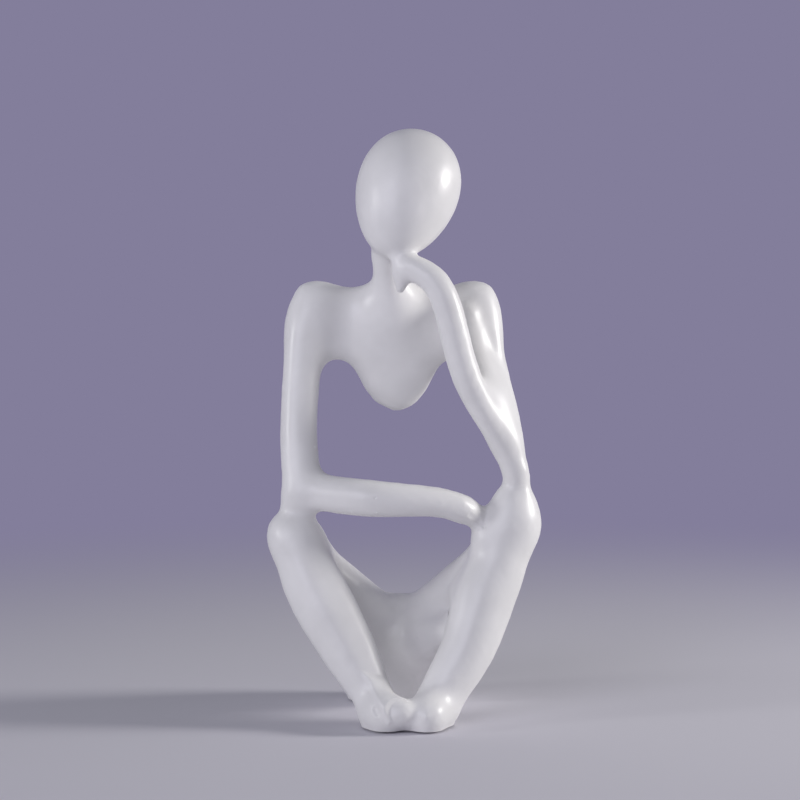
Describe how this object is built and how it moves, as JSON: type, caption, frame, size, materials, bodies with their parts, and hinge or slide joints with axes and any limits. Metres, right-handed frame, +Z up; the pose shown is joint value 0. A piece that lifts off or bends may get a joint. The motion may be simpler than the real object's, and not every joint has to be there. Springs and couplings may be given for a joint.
{
  "type": "abstract figure ornament",
  "caption": "Seated abstract figure in white cast resin with a blank egg for a head, one hand propping the chin and the other arm across the knees, standing on felt pads.",
  "frame": {"origin": "middle of the whole figure in plan, on the table under the felt pads", "axes": "+Z up; the figure faces -Y, so +X is the viewer's right and the figure's own left"},
  "size_m": [0.1206, 0.091, 0.2569],
  "materials": {
    "resin": "satin",
    "steel": "brushed",
    "felt": "matte"
  },
  "bodies": {
    "root": {"head": "resin", "torso": "resin", "right_arm": "resin", "left_arm": "resin", "seat": "resin", "right_leg": "resin", "left_leg": "resin", "neck_pin": "steel", "right_arm_pin": "steel", "left_arm_pin": "steel", "right_elbow_pin": "steel", "right_thigh_pin": "steel", "left_thigh_pin": "steel", "chin_pin": "steel", "left_elbow_pin": "steel", "right_hand_pin": "steel", "toe_pin": "steel", "seat_pad": "felt", "right_foot_pad": "felt", "left_foot_pad": "felt"}
  },
  "joints": []
}
